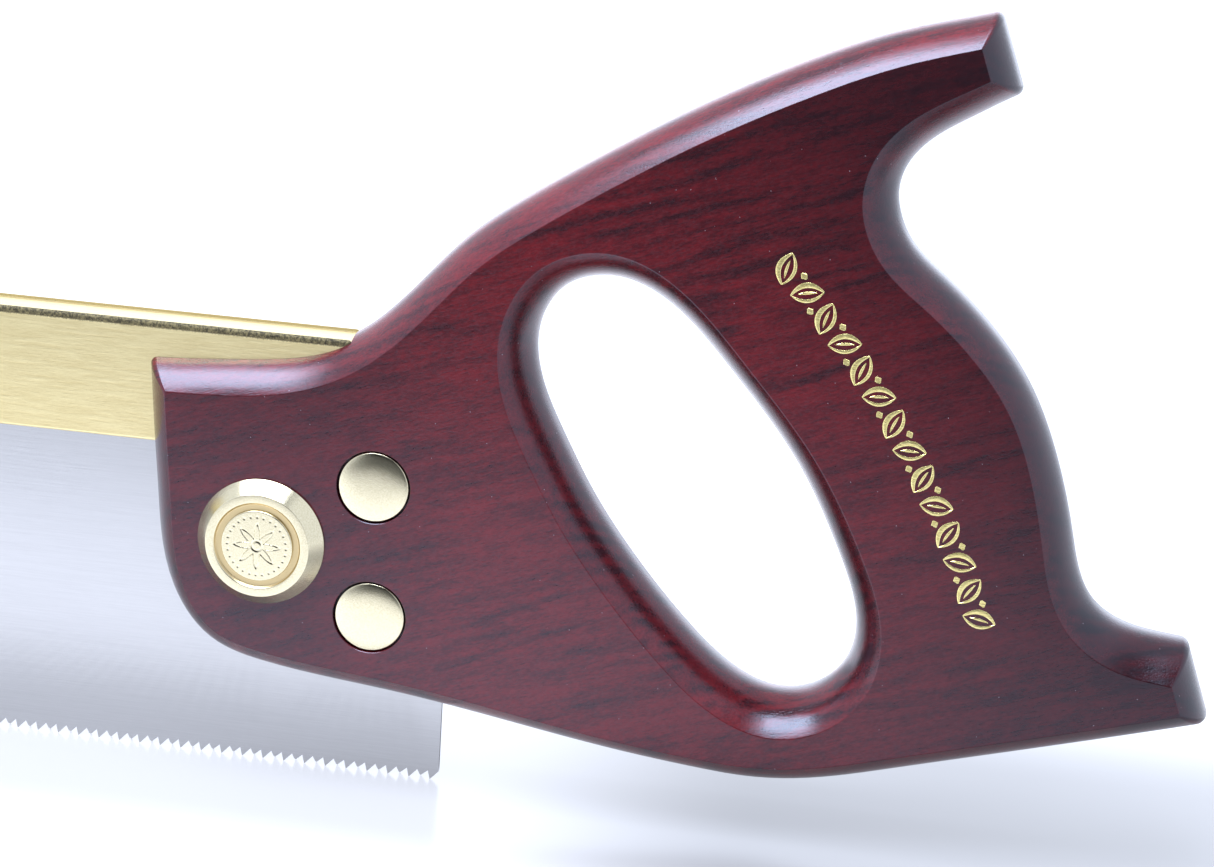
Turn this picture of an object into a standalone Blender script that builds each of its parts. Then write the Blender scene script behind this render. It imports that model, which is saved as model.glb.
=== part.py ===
"""Back saw: a toothed steel plate stiffened by a folded brass back, in a closed wooden handle.

The saw stands on its teeth. X runs along the plate from the toe at -X to the handle at +X, Y runs
through the thickness with the medallion on the -Y side, and Z is up. The origin is on the tooth
line, halfway along the whole saw and in the plate's middle plane. Inside this file the pieces are
drawn from the plate's heel, and one empty carries them to that origin. Outlines are in millimetres.
"""

import math

import bmesh
import bpy
import numpy as np
from mathutils import Vector

MM = 0.001
FIT_GAP = 0.3

# Steel plate
TEETH_PER_INCH = 14
TOOTH_COUNT = 140
TOOTH_PITCH = 25.4 / TEETH_PER_INCH
TOOTH_HEIGHT = 1.4
TOOTH_RAKE = math.radians(15)
PLATE_LENGTH = TOOTH_COUNT * TOOTH_PITCH
PLATE_THICKNESS = 0.8
PLATE_IN_BACK = 13.0

# Folded brass back
BACK_BOTTOM = 55.2
BACK_HEIGHT = 20.2
BACK_WIDTH = 8.6
BACK_CORNER = 0.9
BACK_LIP = 0.4
BACK_REAR = -17.3
BACK_REAR_SKEW = 0.065

# Wooden handle
HANDLE_THICKNESS = 19.0
EDGE_RINGS = 6

# Brass fasteners: three nuts on the -Y face, each with a slotted screw from the +Y face
NUT_PLACES = {"upper": (-11.1, 53.0), "lower": (-10.9, 30.9), "medallion": (-29.3, 41.9)}
HEAD_RADIUS = 5.8
HEAD_DEPTH = 3.1
HEAD_PROUD = 0.2
BARREL_RADIUS = 3.5
BARREL_END = 2.6
SHANK_RADIUS = 2.0
SHANK_END = -5.0
SLOT_WIDTH = 1.3
SLOT_DEPTH = 1.3
MEDALLION_RADIUS = 10.6
MEDALLION_HEIGHT = 2.7
MEDALLION_FLAT_RADIUS = 8.6
MEDALLION_GROOVE = (7.1, 6.0)
MEDALLION_GROOVE_DEPTH = 0.6
ROUND_SIDES = 32

# The edge of the handle's flat faces, clockwise as seen from -Y, in runs that meet at sharp
# corners. Each point is (x, z, swell): the rounded edge stands out by swell beyond the flat face.
TOP_RUN = (
    (-46.1, 65.3, 5.2),
    (-33.5, 65.9, 5.7),
    (-26.9, 66.9, 5.5),
    (-20.4, 68.9, 5.0),
    (-14.0, 72.4, 4.6),
    (-7.8, 77.6, 4.6),
    (-1.6, 84.4, 4.6),
    (4.4, 90.8, 4.6),
    (10.5, 95.7, 4.6),
    (22.5, 103.9, 4.6),
    (37.3, 113.1, 4.6),
    (54.8, 122.3, 4.6),
    (66.3, 127.3, 4.4),
    (78.1, 131.0, 4.1),
)
UPPER_HORN_RUN = (
    (78.1, 131.0, 4.0),
    (79.9, 126.3, 4.0),
)
REAR_RUN = (
    (79.9, 126.3, 4.5),
    (75.5, 123.8, 4.7),
    (68.8, 119.4, 4.9),
    (64.1, 113.6, 5.0),
    (62.6, 106.9, 5.0),
    (63.6, 102.0, 4.9),
    (67.2, 96.2, 4.5),
    (73.8, 90.7, 4.2),
    (81.5, 83.9, 4.0),
    (87.4, 76.6, 3.9),
    (92.2, 65.9, 4.2),
    (95.1, 55.1, 4.7),
    (96.9, 48.2, 4.8),
    (100.9, 41.2, 4.7),
    (108.1, 36.5, 4.8),
    (117.3, 34.9, 4.8),
)
LOWER_HORN_RUN = (
    (117.3, 34.9, 3.9),
    (119.1, 30.1, 3.9),
)
BOTTOM_RUN = (
    (119.1, 30.1, 4.4),
    (110.0, 27.4, 4.4),
    (94.2, 22.8, 4.4),
    (74.1, 17.0, 4.4),
    (59.5, 13.4, 4.4),
    (51.4, 12.8, 4.4),
    (44.5, 13.1, 4.3),
    (30.4, 14.5, 4.2),
    (11.1, 17.5, 4.3),
    (-7.5, 20.2, 4.4),
    (-29.3, 22.8, 4.4),
    (-36.9, 25.4, 4.4),
    (-42.1, 32.1, 4.4),
    (-44.7, 46.7, 4.5),
    (-45.7, 59.1, 4.5),
    (-46.1, 65.3, 4.5),
)
RUN_SPANS = ((TOP_RUN, 4), (UPPER_HORN_RUN, 2), (REAR_RUN, 4), (LOWER_HORN_RUN, 2), (BOTTOM_RUN, 3))

# The edge of the flat faces round the hand hole, clockwise as seen from -Y
HAND_HOLE = (
    (25.5, 94.7, 5.1),
    (34.9, 90.9, 4.5),
    (46.5, 79.9, 4.1),
    (59.1, 65.1, 4.3),
    (67.4, 50.7, 4.6),
    (71.8, 37.3, 4.6),
    (70.6, 28.3, 4.7),
    (63.5, 20.3, 4.8),
    (54.7, 18.3, 4.9),
    (47.3, 20.6, 4.9),
    (37.1, 28.6, 4.8),
    (26.0, 41.0, 4.7),
    (19.6, 49.7, 4.7),
    (14.0, 59.3, 4.7),
    (8.8, 70.9, 4.7),
    (8.2, 81.0, 4.7),
    (14.3, 91.6, 5.0),
)
HAND_HOLE_SPANS = 4


def clear_scene():
    for obj in list(bpy.data.objects):
        bpy.data.objects.remove(obj, do_unlink=True)


def material(name, color, roughness, metallic):
    made = bpy.data.materials.new(name)
    made.use_nodes = True
    shader = made.node_tree.nodes["Principled BSDF"]
    shader.inputs["Base Color"].default_value = (*color, 1.0)
    shader.inputs["Roughness"].default_value = roughness
    shader.inputs["Metallic"].default_value = metallic
    return made


def object_from(bm, name, finish, frame):
    """The bmesh, drawn in millimetres, as a smooth-shaded object in metres under the saw's frame."""
    bmesh.ops.scale(bm, vec=(MM, MM, MM), verts=bm.verts)
    bmesh.ops.recalc_face_normals(bm, faces=bm.faces)
    mesh = bpy.data.meshes.new(name)
    bm.to_mesh(mesh)
    bm.free()
    mesh.shade_smooth()
    mesh.set_sharp_from_angle(angle=math.radians(30))
    obj = bpy.data.objects.new(name, mesh)
    bpy.context.scene.collection.objects.link(obj)
    obj.parent = frame
    if finish is not None:
        mesh.materials.append(finish)
    return obj


def cutter_from(bm, name, frame):
    obj = object_from(bm, name, None, frame)
    obj.hide_render = True
    obj.display_type = "WIRE"
    return obj


def cut(obj, cutter):
    modifier = obj.modifiers.new("cut_" + cutter.name, "BOOLEAN")
    modifier.operation = "DIFFERENCE"
    modifier.solver = "EXACT"
    modifier.object = cutter


def box(low, high):
    bm = bmesh.new()
    bmesh.ops.create_cube(bm, size=1.0)
    bmesh.ops.scale(bm, vec=Vector(high) - Vector(low), verts=bm.verts)
    bmesh.ops.translate(bm, vec=(Vector(low) + Vector(high)) / 2, verts=bm.verts)
    return bm


def spline(points, spans, closed=False):
    """Points along the cubic spline through the given ones, with spans steps between neighbours."""
    given = np.array(points, float)
    if closed:
        given = np.vstack([given, given[:1]])
    steps = np.sqrt(((given[1:, :2] - given[:-1, :2]) ** 2).sum(axis=1))
    count = len(given)
    system = np.zeros((count, count))
    right = np.zeros_like(given)
    for i in range(1, count - 1):
        before, after = steps[i - 1], steps[i]
        system[i, i - 1 : i + 2] = before, 2 * (before + after), after
        right[i] = 6 * ((given[i + 1] - given[i]) / after - (given[i] - given[i - 1]) / before)
    system[0, 0] = 1
    system[-1, -1] = 1
    if closed:
        before, after = steps[-1], steps[0]
        system[0, :2] = 2 * (before + after), after
        system[0, -2] = before
        right[0] = 6 * ((given[1] - given[0]) / after - (given[0] - given[-2]) / before)
        system[-1, 0] = -1
    bend = np.linalg.solve(system, right)
    found = []
    for i, step in enumerate(steps):
        for t in np.arange(spans) / spans:
            a, b = (1 - t) * step, t * step
            found.append(
                (bend[i] * a**3 + bend[i + 1] * b**3) / (6 * step)
                + (given[i] / step - bend[i] * step / 6) * a
                + (given[i + 1] / step - bend[i + 1] * step / 6) * b
            )
    if not closed:
        found.append(given[-1])
    return np.array(found)


def handle_outline():
    """The whole edge of the flat face: [(point, [(normal, swell) for each run that it is on])]."""
    outline = []
    for run, spans in RUN_SPANS:
        points = spline(run, spans)
        tangents = np.gradient(points[:, :2], axis=0)
        tangents /= np.linalg.norm(tangents, axis=1)[:, None]
        sides = [(np.array((-t[1], t[0])), p[2]) for t, p in zip(tangents, points)]
        if outline:
            outline[-1][1].append(sides[0])
            outline += [(p[:2], [side]) for p, side in zip(points[1:], sides[1:])]
        else:
            outline = [(p[:2], [side]) for p, side in zip(points, sides)]
    last = outline.pop()
    outline[0][1].append(last[1][0])
    return outline


def hole_outline():
    points = spline(HAND_HOLE, HAND_HOLE_SPANS, closed=True)
    tangents = np.roll(points[:, :2], -1, axis=0) - np.roll(points[:, :2], 1, axis=0)
    tangents /= np.linalg.norm(tangents, axis=1)[:, None]
    return [(p[:2], [(np.array((t[1], -t[0])), p[2])]) for p, t in zip(points, tangents)]


def standing_out(swell, depth):
    """How far an arc over the handle's thickness, swell high at its middle, stands out at a depth."""
    half = HANDLE_THICKNESS / 2
    radius = (half**2 + swell**2) / (2 * swell)
    return math.sqrt(radius**2 - (depth - half) ** 2) - (radius - swell)


def ring_point(point, sides, depth):
    """The outline's point moved out to the rounded edge. At a sharp corner both sides move out."""
    out = [(normal, standing_out(swell, depth)) for normal, swell in sides]
    if len(out) == 1:
        return point + out[0][0] * out[0][1]
    normals = np.array([normal for normal, _ in out])
    return point + np.linalg.solve(normals, np.array([reach for _, reach in out]))


def rounded_rings(bm, outline):
    """Rings of vertices round one outline, from the -Y flat face to the +Y one, joined by quads."""
    rings = []
    for k in range(EDGE_RINGS + 1):
        depth = HANDLE_THICKNESS / 2 * (1 - math.cos(math.pi * k / EDGE_RINGS))
        y = depth - HANDLE_THICKNESS / 2
        ring = []
        for point, sides in outline:
            x, z = ring_point(point, sides, depth)
            ring.append(bm.verts.new((x, y, z)))
        rings.append(ring)
    for near, far in zip(rings, rings[1:]):
        for i in range(len(near)):
            j = (i + 1) % len(near)
            bm.faces.new((near[i], near[j], far[j], far[i]))
    return rings[0], rings[-1]


def loop_edges(bm, ring):
    return [bm.edges.get((ring[i - 1], ring[i])) for i in range(len(ring))]


def make_handle(finish, frame):
    bm = bmesh.new()
    outer = rounded_rings(bm, handle_outline())
    inner = rounded_rings(bm, hole_outline())
    for outside, inside in zip(outer, inner):
        edges = loop_edges(bm, outside) + loop_edges(bm, inside)
        bmesh.ops.triangle_fill(bm, use_beauty=True, edges=edges)
    handle = object_from(bm, "handle", finish, frame)
    past = 30.0
    kerf = PLATE_THICKNESS / 2 + FIT_GAP
    front = TOP_RUN[0][0] - past
    plate_top = BACK_BOTTOM + PLATE_IN_BACK + FIT_GAP
    cut(handle, cutter_from(box((front, -kerf, -past), (FIT_GAP, kerf, plate_top)), "kerf", frame))
    side = BACK_WIDTH / 2 + FIT_GAP
    rear = BACK_REAR + FIT_GAP + BACK_REAR_SKEW * BACK_WIDTH / 2
    mortise = box((front, -side, BACK_BOTTOM - FIT_GAP), (rear, side, BACK_BOTTOM + BACK_HEIGHT + past))
    cut(handle, cutter_from(mortise, "mortise", frame))
    for name, (x, z) in NUT_PLACES.items():
        cut(handle, cutter_from(turned(bolt_hole(name), x, z), name + "_hole", frame))
    return handle


def turned(profile, x, z):
    """A closed solid of revolution about the line through (x, z) along Y. Profile: (radius, y)."""
    bm = bmesh.new()
    rings = []
    for radius, y in profile:
        if radius == 0:
            rings.append([bm.verts.new((x, y, z))])
            continue
        angles = [2 * math.pi * i / ROUND_SIDES for i in range(ROUND_SIDES)]
        rings.append([bm.verts.new((x + radius * math.cos(a), y, z + radius * math.sin(a))) for a in angles])
    for one, two in zip(rings, rings[1:]):
        for i in range(ROUND_SIDES):
            j = (i + 1) % ROUND_SIDES
            corners = [one[i % len(one)], one[j % len(one)], two[j % len(two)], two[i % len(two)]]
            bm.faces.new(dict.fromkeys(corners))
    return bm


def bolt_hole(name):
    """Clearance for one nut and its screw: a counterbore at each face that a head is let into."""
    face = HANDLE_THICKNESS / 2
    past = 5.0
    seat = face + HEAD_PROUD - HEAD_DEPTH - FIT_GAP
    wide = HEAD_RADIUS + FIT_GAP
    narrow = BARREL_RADIUS + FIT_GAP
    far_side = [(narrow, seat), (wide, seat), (wide, face + past), (0, face + past)]
    if name == "medallion":
        return [(0, -face - past), (narrow, -face - past)] + far_side
    return [(0, -face - past), (wide, -face - past), (wide, -seat), (narrow, -seat)] + far_side


def head_profile(direction):
    """A flat head with a softened rim, from its middle to its seat, facing -Y or +Y."""
    face = HANDLE_THICKNESS / 2 + HEAD_PROUD
    seat = face - HEAD_DEPTH
    points = [(0, face), (HEAD_RADIUS - 0.9, face), (HEAD_RADIUS - 0.3, face - 0.2), (HEAD_RADIUS, face - 0.6)]
    points.append((HEAD_RADIUS, seat))
    return [(radius, direction * y) for radius, y in points]


def barrel_profile():
    """The nut's barrel below its head, with the blind bore that takes the screw."""
    bore = SHANK_RADIUS + FIT_GAP
    bore_end = SHANK_END - FIT_GAP
    return [(BARREL_RADIUS, BARREL_END), (bore, BARREL_END), (bore, bore_end), (0, bore_end)]


def make_nut(name, finish, frame):
    x, z = NUT_PLACES[name]
    head = head_profile(-1)
    profile = head + [(BARREL_RADIUS, head[-1][1])] + barrel_profile()
    return object_from(turned(profile, x, z), name + "_nut", finish, frame)


def make_medallion(finish, frame):
    """The large nut: a coned rim, a flat ring, a groove and a plain middle disc."""
    x, z = NUT_PLACES["medallion"]
    seat = -HANDLE_THICKNESS / 2 - FIT_GAP
    top = -HANDLE_THICKNESS / 2 - MEDALLION_HEIGHT
    outer, inner = MEDALLION_GROOVE
    floor = top + MEDALLION_GROOVE_DEPTH
    middle = (outer + inner) / 2
    profile = [(0, top), (inner, top), (middle - 0.2, floor), (middle + 0.2, floor), (outer, top)]
    profile += [(MEDALLION_FLAT_RADIUS, top), (MEDALLION_RADIUS, seat - 0.3), (MEDALLION_RADIUS, seat)]
    profile += [(BARREL_RADIUS, seat)] + barrel_profile()
    return object_from(turned(profile, x, z), "medallion_nut", finish, frame)


def make_screw(name, finish, frame):
    x, z = NUT_PLACES[name]
    head = head_profile(1)
    profile = head + [(SHANK_RADIUS, head[-1][1]), (SHANK_RADIUS, SHANK_END + 0.5)]
    profile += [(SHANK_RADIUS - 0.5, SHANK_END), (0, SHANK_END)]
    screw = object_from(turned(profile, x, z), name + "_screw", finish, frame)
    face = HANDLE_THICKNESS / 2 + HEAD_PROUD
    reach = HEAD_RADIUS + 1.0
    low = (x - reach, face - SLOT_DEPTH, z - SLOT_WIDTH / 2)
    high = (x + reach, face + 1.0, z + SLOT_WIDTH / 2)
    cut(screw, cutter_from(box(low, high), name + "_slot", frame))
    return screw


def extruded(outline, low, high, along):
    """A closed outline of (across, up) pairs extruded between two places along X or Y."""
    bm = bmesh.new()
    ends = []
    for place in (low, high):
        if along == "X":
            ends.append([bm.verts.new((place, a, b)) for a, b in outline])
        else:
            ends.append([bm.verts.new((a, place, b)) for a, b in outline])
    bm.faces.new(ends[0])
    bm.faces.new(reversed(ends[1]))
    for i in range(len(outline)):
        j = (i + 1) % len(outline)
        bm.faces.new((ends[0][i], ends[1][i], ends[1][j], ends[0][j]))
    return bm


def tooth_line():
    """Gullets and tips from heel to toe. The teeth lean towards the toe."""
    front = TOOTH_HEIGHT * math.tan(TOOTH_RAKE)
    points = []
    for i in range(TOOTH_COUNT):
        points.append((-i * TOOTH_PITCH, TOOTH_HEIGHT))
        points.append((-(i + 1) * TOOTH_PITCH + front, 0.0))
    points.append((-PLATE_LENGTH, TOOTH_HEIGHT))
    return points


def make_plate(finish, frame):
    top = BACK_BOTTOM + PLATE_IN_BACK
    outline = tooth_line() + [(-PLATE_LENGTH, top), (0.0, top)]
    bm = extruded(outline, -PLATE_THICKNESS / 2, PLATE_THICKNESS / 2, "Y")
    plate = object_from(bm, "blade", finish, frame)
    radius = BARREL_RADIUS + FIT_GAP
    for name, (x, z) in NUT_PLACES.items():
        hole = turned([(0, -2.0), (radius, -2.0), (radius, 2.0), (0, 2.0)], x, z)
        cut(plate, cutter_from(hole, name + "_plate_hole", frame))
    return plate


def back_section():
    """Half the folded back's section, from the slot's top round the outside, then its mirror."""
    slot = PLATE_THICKNESS / 2 + FIT_GAP
    side = BACK_WIDTH / 2
    top = BACK_BOTTOM + BACK_HEIGHT
    slot_top = BACK_BOTTOM + PLATE_IN_BACK + FIT_GAP
    half = [(slot, slot_top), (slot, BACK_BOTTOM), (side - BACK_LIP, BACK_BOTTOM), (side, BACK_BOTTOM + BACK_LIP)]
    steps = 6
    for i in range(steps + 1):
        turn = math.pi / 2 * i / steps
        across = side - BACK_CORNER + BACK_CORNER * math.cos(turn)
        half.append((across, top - BACK_CORNER + BACK_CORNER * math.sin(turn)))
    return half + [(-a, b) for a, b in reversed(half)]


def make_back(finish, frame):
    bm = extruded(back_section(), -PLATE_LENGTH, BACK_REAR, "X")
    for vert in bm.verts:
        if vert.co.x > BACK_REAR - 1.0:
            vert.co.x -= BACK_REAR_SKEW * vert.co.y
    return object_from(bm, "brass_back", finish, frame)


def rear_tip():
    """How far the handle reaches behind the plate's heel."""
    middle = HANDLE_THICKNESS / 2
    return max(ring_point(point, sides, middle)[0] for point, sides in handle_outline())


def main():
    clear_scene()
    wood = material("stained_wood", (0.18, 0.035, 0.04), 0.35, 0.0)
    brass = material("brass", (0.80, 0.66, 0.38), 0.28, 1.0)
    steel = material("steel", (0.70, 0.72, 0.75), 0.30, 1.0)
    frame = bpy.data.objects.new("saw_frame", None)
    bpy.context.scene.collection.objects.link(frame)
    frame.location.x = (PLATE_LENGTH - rear_tip()) / 2 * MM
    make_handle(wood, frame)
    make_plate(steel, frame)
    make_back(brass, frame)
    make_medallion(brass, frame)
    make_nut("upper", brass, frame)
    make_nut("lower", brass, frame)
    for name in NUT_PLACES:
        make_screw(name, brass, frame)


main()
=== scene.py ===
"""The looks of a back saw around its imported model: stained wood, brass, brushed steel and gold foil.

The model's frame is in metres. The shapes here are drawn in millimetres from the plate's heel, with Z
up from the tooth tips, and heel_to_frame carries them to the model's frame.
"""

import math

import bmesh
import bpy
import numpy as np
from mathutils import Matrix, Vector


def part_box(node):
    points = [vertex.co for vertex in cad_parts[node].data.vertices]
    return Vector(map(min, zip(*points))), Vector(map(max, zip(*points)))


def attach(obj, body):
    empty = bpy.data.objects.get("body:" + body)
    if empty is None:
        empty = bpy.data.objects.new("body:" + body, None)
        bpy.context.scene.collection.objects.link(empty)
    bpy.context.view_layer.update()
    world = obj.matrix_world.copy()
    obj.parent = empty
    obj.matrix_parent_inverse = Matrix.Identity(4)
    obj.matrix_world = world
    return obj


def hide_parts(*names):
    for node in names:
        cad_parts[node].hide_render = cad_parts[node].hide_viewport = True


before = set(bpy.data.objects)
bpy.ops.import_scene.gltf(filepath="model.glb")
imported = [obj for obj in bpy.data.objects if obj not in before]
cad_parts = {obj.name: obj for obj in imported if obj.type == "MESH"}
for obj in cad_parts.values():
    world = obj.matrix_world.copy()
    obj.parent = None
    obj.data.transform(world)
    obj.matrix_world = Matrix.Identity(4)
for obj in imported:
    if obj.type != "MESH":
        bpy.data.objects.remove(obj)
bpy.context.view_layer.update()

MM = 0.001
HEEL_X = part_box("blade")[1].x / MM

# Steel plate
TOOTH_COUNT = 140
TOOTH_PITCH = 25.4 / 14
TOOTH_HEIGHT = 1.4
TOOTH_RAKE = math.radians(15)
TOOTH_SET = 0.16
TOOTH_BEVEL = 0.5
PLATE_LENGTH = TOOTH_COUNT * TOOTH_PITCH
PLATE_THICKNESS = 0.8
PLATE_TOP = 67.9

# Folded brass back
BACK_BOTTOM = 55.2
BACK_TOP = 75.4
BACK_WIDTH = 8.6
BACK_HOLLOW = 0.42
BACK_LIP = 0.65
# How far below the top the painted dark reflection on the -Y corner reaches
BACK_REFLECTION_BAND = 0.9
BACK_END_ROUNDING = 0.45
BACK_REAR = -17.3
BACK_REAR_SKEW = 0.065

# Wooden handle
THICKNESS = 19.0
RIM_FILLET = 0.35
CORNER_AT_RIM = 0.25
CORNER_AT_CREST = 1.3
CORNER_STEPS = 6
FILLET_STEPS = 3
ARC_STEPS = 26
SNUG = 0.06

# Brass nuts on the -Y face and their screws on the +Y face
NUT_PLACES = {"upper": (-11.1, 53.0), "lower": (-10.9, 30.9), "medallion": (-29.3, 41.9)}
HEAD_RADIUS = 5.8
HEAD_DEPTH = 3.1
HEAD_PROUD = 0.2
HEAD_GAP = 0.28
BARREL_RADIUS = 3.5
BARREL_END = 2.6
SHANK_RADIUS = 2.0
SHANK_END = -5.0
SLOT_WIDTH = 1.3
SLOT_DEPTH = 1.3
MEDALLION_RADIUS = 10.6
MEDALLION_HEIGHT = 2.7
MEDALLION_FLAT = 8.6
MEDALLION_GROOVE = (7.25, 5.95)
MEDALLION_GROOVE_DEPTH = 0.42
MEDALLION_SIDES = 160
BORE_GAP = 0.2
ROUND_SIDES = 120
BORE_SIDES = 48

# The rosette in the medallion, in millimetres from its middle
ROSETTE_RING = 0.8
ROSETTE_PETAL_FOOT = 1.4
ROSETTE_PETAL_LENGTH = 2.3
ROSETTE_DOTS = 4.9
ROSETTE_RINGS = 56
ROSETTE_SIDES = 288

# The gold ornament on the handle's -Y face: leaves along an arc, from its upper end to its lower one
TRIM_CENTRE = (-63.8, -18.1)
TRIM_RADIUS = 162.1
TRIM_FROM = math.radians(45.2)
TRIM_TO = math.radians(21.0)
TRIM_UNITS = 14
TRIM_HEIGHT = 4.8
TRIM_THICKNESS = 0.05
TRIM_SUNK = 0.05

# The edge of the handle's flat faces, in runs that meet at sharp corners: (x, z, swell). These are
# measured points, and so is HAND_HOLE, the edge round the hand hole: no driving dimensions make them.
TOP_RUN = (
    (-46.1, 65.3, 5.2),
    (-33.5, 65.9, 5.7),
    (-26.9, 66.9, 5.5),
    (-20.4, 68.9, 5.0),
    (-14.0, 72.4, 4.6),
    (-7.8, 77.6, 4.6),
    (-1.6, 84.4, 4.6),
    (4.4, 90.8, 4.6),
    (10.5, 95.7, 4.6),
    (22.5, 103.9, 4.6),
    (37.3, 113.1, 4.6),
    (54.8, 122.3, 4.6),
    (66.3, 127.3, 4.4),
    (78.1, 131.0, 4.1),
)
UPPER_HORN_RUN = (
    (78.1, 131.0, 4.0),
    (79.9, 126.3, 4.0),
)
REAR_RUN = (
    (79.9, 126.3, 4.5),
    (75.5, 123.8, 4.7),
    (68.8, 119.4, 4.9),
    (64.1, 113.6, 5.0),
    (62.6, 106.9, 5.0),
    (63.6, 102.0, 4.9),
    (67.2, 96.2, 4.5),
    (73.8, 90.7, 4.2),
    (81.5, 83.9, 4.0),
    (87.4, 76.6, 3.9),
    (92.2, 65.9, 4.2),
    (95.1, 55.1, 4.7),
    (96.9, 48.2, 4.8),
    (100.9, 41.2, 4.7),
    (108.1, 36.5, 4.8),
    (117.3, 34.9, 4.8),
)
LOWER_HORN_RUN = (
    (117.3, 34.9, 3.9),
    (119.1, 30.1, 3.9),
)
BOTTOM_RUN = (
    (119.1, 30.1, 4.4),
    (110.0, 27.4, 4.4),
    (94.2, 22.8, 4.4),
    (74.1, 17.0, 4.4),
    (59.5, 13.4, 4.4),
    (51.4, 12.8, 4.4),
    (44.5, 13.1, 4.3),
    (30.4, 14.5, 4.2),
    (11.1, 17.5, 4.3),
    (-7.5, 20.2, 4.4),
    (-29.3, 22.8, 4.4),
    (-36.9, 25.4, 4.4),
    (-42.1, 32.1, 4.4),
    (-44.7, 46.7, 4.5),
    (-45.7, 59.1, 4.5),
    (-46.1, 65.3, 4.5),
)
RUN_SPANS = ((TOP_RUN, 9), (UPPER_HORN_RUN, 3), (REAR_RUN, 9), (LOWER_HORN_RUN, 3), (BOTTOM_RUN, 7))
HAND_HOLE = (
    (25.5, 94.7, 5.1),
    (34.9, 90.9, 4.5),
    (46.5, 79.9, 4.1),
    (59.1, 65.1, 4.3),
    (67.4, 50.7, 4.6),
    (71.8, 37.3, 4.6),
    (70.6, 28.3, 4.7),
    (63.5, 20.3, 4.8),
    (54.7, 18.3, 4.9),
    (47.3, 20.6, 4.9),
    (37.1, 28.6, 4.8),
    (26.0, 41.0, 4.7),
    (19.6, 49.7, 4.7),
    (14.0, 59.3, 4.7),
    (8.8, 70.9, 4.7),
    (8.2, 81.0, 4.7),
    (14.3, 91.6, 5.0),
)
HAND_HOLE_SPANS = 9

# The camera: angles in degrees, and lengths in millimetres. The target's place is from the heel.
CAMERA_AZIMUTH = 8.08
CAMERA_ELEVATION = 16.20
CAMERA_ROLL = 3.80
CAMERA_DISTANCE = 430.5
CAMERA_TARGET = (24.73, 0.0, 63.37)
CAMERA_LENS = 79.45

# The room, in metres: how bright it looks in each direction, and where the floor fades into it
BACKDROP_GLOW = 1.3
ROOM_COLOUR = (0.80, 0.86, 1.0, 1)
BACK_WALL_GLOW = 3.2
BACK_FLOOR_GLOW = 1.5
CEILING_GLOW = 0.9
SIDE_GLOW = 1.3
FRONT_GLOW = 0.16
DIM_GLOW = 0.04
FLOOR_GLOW = 1.2
FLOOR_COLOUR = (0.85, 0.89, 1.0, 1)
FLOOR_HALF = 1.2
FLOOR_FADE = (0.05, 0.38)

# The two overhead lights: a wide one, and a smaller and brighter one just below its middle
LIGHT_COLOUR = (0.78, 0.84, 1.0)
LIGHT_X = -0.07
LIGHT_Y = -0.19
WIDE_LIGHT_HEIGHT = 0.62
WIDE_LIGHT_SIZE = (0.70, 0.62)
WIDE_LIGHT_RADIANCE = 4.2
MIDDLE_LIGHT_HEIGHT = 0.615
MIDDLE_LIGHT_SIZE = (0.48, 0.38)
MIDDLE_LIGHT_RADIANCE = 11.5

# The wood, in the frame's millimetres: where it is lightest, with its stain and its painted shade both
# darkening away from there; where painted shade makes it darkest; and how its grain rises
STAIN_AND_SHADE_MIDDLE = (82.0, 0.0, 49.0)
LOWER_HOLLOW = (176.5, 0.0, 39.0)
GRAIN_RISE = math.radians(20)
GRAIN_ALONG = (math.cos(GRAIN_RISE), 0.0, math.sin(GRAIN_RISE))
GRAIN_ACROSS = (-math.sin(GRAIN_RISE), 0.0, math.cos(GRAIN_RISE))

ALONG_X = (1.0, 0.0, 0.0)
ALONG_Y = (0.0, 1.0, 0.0)
ALONG_Z = (0.0, 0.0, 1.0)


# ---------------------------------------------------------------- mesh helpers


def heel_to_frame(x, y, z):
    return (np.asarray(x) + HEEL_X) * MM, np.asarray(y) * MM, np.asarray(z) * MM


def finish_object(bm, name, finish, sharp=35):
    """The bmesh, drawn in millimetres from the heel, as a smooth-shaded object in the model's frame."""
    for vert in bm.verts:
        vert.co = heel_to_frame(*vert.co)
    bmesh.ops.recalc_face_normals(bm, faces=bm.faces)
    mesh = bpy.data.meshes.new(name)
    bm.to_mesh(mesh)
    bm.free()
    mesh.materials.append(finish)
    mesh.shade_smooth()
    mesh.set_sharp_from_angle(angle=math.radians(sharp))
    obj = bpy.data.objects.new(name, mesh)
    bpy.context.scene.collection.objects.link(obj)
    return obj


def weigh_normals(obj):
    """Large flat faces keep their own normal up to the fillets beside them."""
    modifier = obj.modifiers.new("weighted_normals", "WEIGHTED_NORMAL")
    modifier.keep_sharp = True
    modifier.weight = 90


def cut_away(obj, cutters):
    """Cuts each cutter object out of obj for good, and removes the cutters."""
    for cutter in cutters:
        modifier = obj.modifiers.new("cut", "BOOLEAN")
        modifier.operation = "DIFFERENCE"
        modifier.solver = "EXACT"
        modifier.object = cutter
    bpy.context.view_layer.update()
    graph = bpy.context.evaluated_depsgraph_get()
    mesh = bpy.data.meshes.new_from_object(obj.evaluated_get(graph))
    obj.modifiers.clear()
    obj.data = mesh
    mesh.shade_smooth()
    mesh.set_sharp_from_angle(angle=math.radians(35))
    for cutter in cutters:
        bpy.data.objects.remove(cutter, do_unlink=True)


def box_mesh(low, high):
    bm = bmesh.new()
    bmesh.ops.create_cube(bm, size=1.0)
    bmesh.ops.scale(bm, vec=Vector(high) - Vector(low), verts=bm.verts)
    bmesh.ops.translate(bm, vec=(Vector(low) + Vector(high)) / 2, verts=bm.verts)
    return bm


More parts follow.
